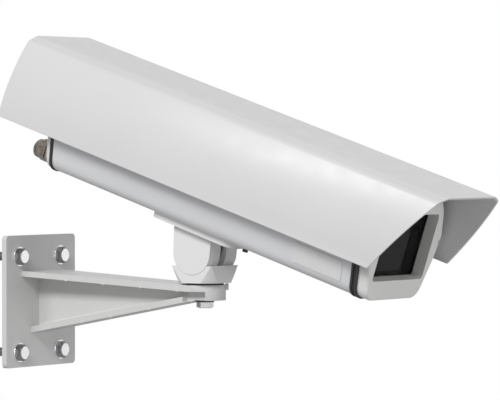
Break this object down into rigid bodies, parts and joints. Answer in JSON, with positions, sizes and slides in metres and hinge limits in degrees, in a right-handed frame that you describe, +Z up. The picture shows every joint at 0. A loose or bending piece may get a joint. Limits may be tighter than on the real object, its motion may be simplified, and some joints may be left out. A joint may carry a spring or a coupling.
{
  "type": "security camera housing",
  "caption": "Wall-mounted outdoor camera housing with sunshield, glazed front cover, cable glands and a cast arm whose head pans and tilts.",
  "frame": {"origin": "centre of the wall plate's back face", "axes": "+X out from the wall along the arm, +Z up, the camera looks along +X"},
  "size_m": [0.4745, 0.1314, 0.2969],
  "materials": {
    "painted_casting": "fine textured powder coat",
    "painted_body": "satin powder coat",
    "painted_cover": "satin powder coat",
    "painted_shield": "satin powder coat",
    "plated_steel": "bright zinc plate",
    "black_screw": "black oxide",
    "black_washer": "matt",
    "black_rubber": "matt",
    "black_sheet": "matt black paint",
    "window_glass": "clear",
    "nickel_brass": "nickel plated",
    "red_board": "solder mask",
    "green_board": "solder mask",
    "grey_moulding": "moulded",
    "bare_label": "satin film"
  },
  "bodies": {
    "root": {"wall_bracket": "painted_casting", "wall_bolts": "plated_steel", "wall_washers": "plated_steel"},
    "pan_head": {"pan_saddle": "painted_casting", "pivot_bolt": "plated_steel", "pivot_washer": "black_washer", "pan_washer": "black_washer", "clamp_nut": "plated_steel"},
    "camera_housing": {"tilt_knuckle": "painted_casting", "adapter_plate": "painted_casting", "knuckle_screws": "plated_steel", "rail_lock_screws": "black_screw", "housing_body": "painted_body", "front_gasket": "black_rubber", "rear_gasket": "black_rubber", "front_cover": "painted_cover", "rear_cover": "painted_cover", "front_cover_screws": "plated_steel", "rear_cover_screws": "plated_steel", "window_seal": "black_rubber", "window_glass": "window_glass", "glass_frame": "black_sheet", "frame_screws": "plated_steel", "near_gland_body": "nickel_brass", "near_gland_nut": "nickel_brass", "near_gland_seal": "black_rubber", "far_gland_body": "nickel_brass", "far_gland_nut": "nickel_brass", "far_gland_seal": "black_rubber", "gland_locknuts": "nickel_brass", "sunshield": "painted_shield", "shield_bolts": "plated_steel", "shield_spacers": "black_washer", "shield_nuts": "plated_steel", "camera_sled": "black_sheet", "sled_screws": "plated_steel", "heater_board": "red_board", "heater_posts": "nickel_brass", "heater_screws": "plated_steel", "power_board": "green_board", "power_posts": "nickel_brass", "power_screws": "plated_steel", "terminal_block": "grey_moulding", "blank_label": "bare_label"}
  },
  "joints": [
    {"name": "pan", "type": "hinge", "parent": "root", "child": "pan_head", "pos_m": [0.185, 0, 0.0183], "axis": [0, 0, 1], "range_deg": [-90, 90]},
    {"name": "tilt", "type": "hinge", "parent": "pan_head", "child": "camera_housing", "pos_m": [0.185, 0, 0.04655], "axis": [0, 1, 0], "range_deg": [-18.3, 31.7]}
  ]
}
